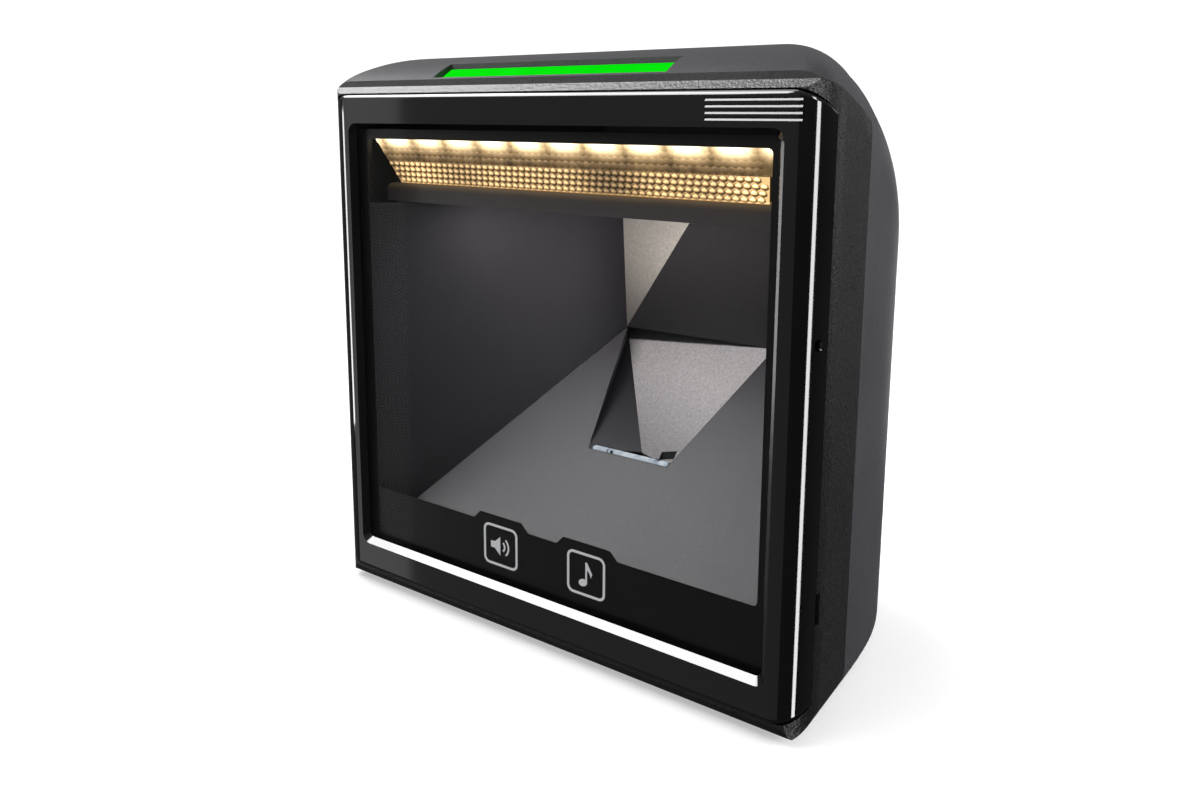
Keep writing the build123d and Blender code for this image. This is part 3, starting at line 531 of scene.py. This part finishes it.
# ------------------------------------------------------------------ inside parts
def inside():
    give(finish("board_green", (0.012, 0.075, 0.030), 0.38, grain=(500.0, 0.25, 0.0001), mottle=0.35,
                patch=160.0), "touch_board", "led_board", "indicator_board", "imager_board", "main_board")
    give(finish("zinc_steel", (0.52, 0.53, 0.55), 0.32, grain=(700.0, 0.12, 0.0001), metallic=1.0),
         "chassis_bracket", "base_plate", "board_screws", "case_screws")
    give(finish("tin_plate", (0.62, 0.62, 0.60), 0.25, grain=(300.0, 0.1, 0.0001), metallic=1.0),
         "processor_shield")
    give(finish("ferrite_grey", (0.05, 0.05, 0.052), 0.6, grain=(1600.0, 0.3, 0.0001)),
         "power_inductors", "speaker_magnet")
    give(finish("brass", (0.60, 0.42, 0.17), 0.28, grain=(900.0, 0.1, 0.0001), metallic=1.0), "stand_inserts")
    give(finish("rubber", (0.016, 0.016, 0.016), 0.75, grain=(1800.0, 0.5, 0.0002)), "rubber_feet")
    give(finish("frame_plastic", (0.012, 0.012, 0.013), 0.45, grain=(1000.0, 0.2, 0.0001)), "speaker_frame")
    give(finish("cone_paper", (0.03, 0.028, 0.026), 0.8, grain=(1400.0, 0.5, 0.0002)), "speaker_cone")
    give(finish("mesh_cloth", (0.006, 0.006, 0.006), 0.8, grain=(3000.0, 0.6, 0.0002)), "sound_mesh")
    give(finish("ribbon", (0.45, 0.43, 0.38), 0.5, mottle=0.06), "light_cable", "imager_cable")
    give(finish("socket_plastic", (0.010, 0.010, 0.011), 0.4, grain=(900.0, 0.15, 0.0001)),
         "interface_jack", "auxiliary_port")
    give(finish("gold", (0.80, 0.58, 0.22), 0.22, metallic=1.0), "jack_contacts")


def label():
    """Plain silver label ruled into boxes, with no wording."""
    made, tree, shader = new_material("label_silver")
    steps = math_node(tree, "ADD", math_node(tree, "DIVIDE", axis(tree, "Y"), LABEL_RULE_PITCH * MM), 0.35)
    centred = math_node(tree, "SUBTRACT", math_node(tree, "FRACT", steps), 0.5)
    rule = math_node(tree, "LESS_THAN", math_node(tree, "ABSOLUTE", centred), 0.05)
    brushed = noise(tree, 300.0, 3.0, stretch=(0.1, 1.0, 1.0))
    silver = ramp(tree, brushed, [(0.3, grey(0.52)), (0.7, grey(0.64))])
    tree.links.new(blend(tree, rule, silver, grey(0.04)), shader.inputs["Base Color"])
    shader.inputs["Roughness"].default_value = 0.4
    shader.inputs["Metallic"].default_value = 0.3
    give(made, "rating_label")


# ------------------------------------------------------------------ studio
def aim(thing, place_at, target):
    thing.location = place_at
    thing.rotation_euler = (Vector(target) - Vector(place_at)).to_track_quat("-Z", "Y").to_euler()


def area(name, place_at, target, size, radiance, colour=(1, 1, 1), card=True):
    """Rectangular lamp. A card shows only as a reflection; the other kind only lights matt surfaces."""
    data = bpy.data.lights.new(name, "AREA")
    data.shape = "RECTANGLE"
    data.size, data.size_y = size
    data.energy = radiance * math.pi * size[0] * size[1]
    data.color = colour
    lamp = bpy.data.objects.new(name, data)
    bpy.context.scene.collection.objects.link(lamp)
    aim(lamp, place_at, target)
    lamp.visible_camera = False
    lamp.visible_glossy = card
    lamp.visible_diffuse = not card


def stage_floor():
    bpy.ops.mesh.primitive_plane_add(size=12.0, location=(0, 0, 0))
    floor = bpy.context.object
    floor.name = "floor"
    paper, tree, shader = new_material("paper")
    tree.links.new(ramp(tree, noise(tree, 3.0), [(0.3, grey(0.75)), (0.7, grey(0.77))]),
                   shader.inputs["Base Color"])
    shader.inputs["Roughness"].default_value = 0.9
    shader.inputs["Specular IOR Level"].default_value = 0.0
    shader.inputs["Emission Color"].default_value = (1, 1, 1, 1)
    shader.inputs["Emission Strength"].default_value = 0.42
    floor.data.materials.append(paper)
    floor.visible_glossy = False
    floor.visible_diffuse = False


def lamps():
    sun = bpy.data.lights.new("overhead", "SUN")
    sun.energy = 2.0
    sun.angle = math.radians(42)
    lamp = bpy.data.objects.new("overhead", sun)
    bpy.context.scene.collection.objects.link(lamp)
    aim(lamp, (-0.45, -0.22, 1.0), (0, 0, 0))

    # cards to the front, for the bands and bevels, the bezel's left, the whole bezel and the opening's right
    area("left_card", (-0.43, FRONT - 0.31, 0.60), (-0.02, FRONT, 0.0), (0.78, 0.46), 18.5)
    area("bezel_card", (-0.822, FRONT - 0.521, 0.12), (-0.07, FRONT, 0.10), (0.36, 1.3), 0.70)
    area("front_card", (-0.32, FRONT - 0.938, -0.10), (0.12, FRONT, 0.08), (1.30, 1.6), 0.205)
    area("lip_card", (-0.80, FRONT - 0.27, -0.03), (0.063, FRONT, 0.10), (0.12, 0.34), 11.0)
    # the rear cover, then the right side
    area("rear_card", (0.62, 0.42, 0.26), (0.05, 0.02, 0.09), (0.34, 0.60), 1.6)
    area("edge_card", (-0.04, 0.90, -0.05), (0.07, 0.02, 0.08), (0.24, 0.40), 1.5)
    area("rear_fill", (0.62, 0.42, 0.18), (0.05, 0.02, 0.09), (0.34, 0.60), 13.0, card=False)
    area("right_strip", (0.58, FRONT - 0.34, -0.04), (0.07, FRONT, -0.04), (0.095, 1.1), 19.0)
    # light of the row of emitters, let down into the chamber
    area("chamber_light", (0.008, FRONT + 0.0095, 0.1115), (0.008, FRONT + 0.034, 0.060), (0.084, 0.006),
         43.0, (1.0, 0.93, 0.84), card=False)


def surroundings():
    """White for the camera; for everything else, grey that brightens upwards."""
    world = bpy.data.worlds.new("studio")
    bpy.context.scene.world = world
    world.use_nodes = True
    tree = world.node_tree
    sky = tree.nodes["Background"]
    sky.inputs["Color"].default_value = (1, 1, 1, 1)
    split = node(tree, "SeparateXYZ")
    tree.links.new(node(tree, "TexCoord").outputs["Generated"], split.inputs[0])
    height = map_range(tree, split.outputs["Z"], -0.1, 0.9, 0.08, 0.50)
    seen = node(tree, "LightPath").outputs["Is Camera Ray"]
    tree.links.new(math_node(tree, "ADD", height, seen), sky.inputs["Strength"])


def camera():
    data = bpy.data.cameras.new("camera")
    data.sensor_width = 36.0
    data.lens = CAMERA_LENS
    data.shift_x, data.shift_y = CAMERA_SHIFT
    data.clip_start, data.clip_end = 0.01, 50.0
    made = bpy.data.objects.new("camera", data)
    scene = bpy.context.scene
    scene.collection.objects.link(made)
    turn, down = math.radians(CAMERA_AZIMUTH), math.radians(CAMERA_PITCH)
    forward = Vector((-math.sin(turn) * math.cos(down), math.cos(turn) * math.cos(down), -math.sin(down)))
    made.location = CAMERA_PLACE
    made.rotation_euler = forward.to_track_quat("-Z", "Y").to_euler()
    scene.camera = made
    scene.view_settings.view_transform = "Standard"
    scene.view_settings.look = "None"


shells()
lips()
window()
chamber()
lights_inside()
indicator()
imager()
inside()
label()
stage_floor()
lamps()
surroundings()
camera()
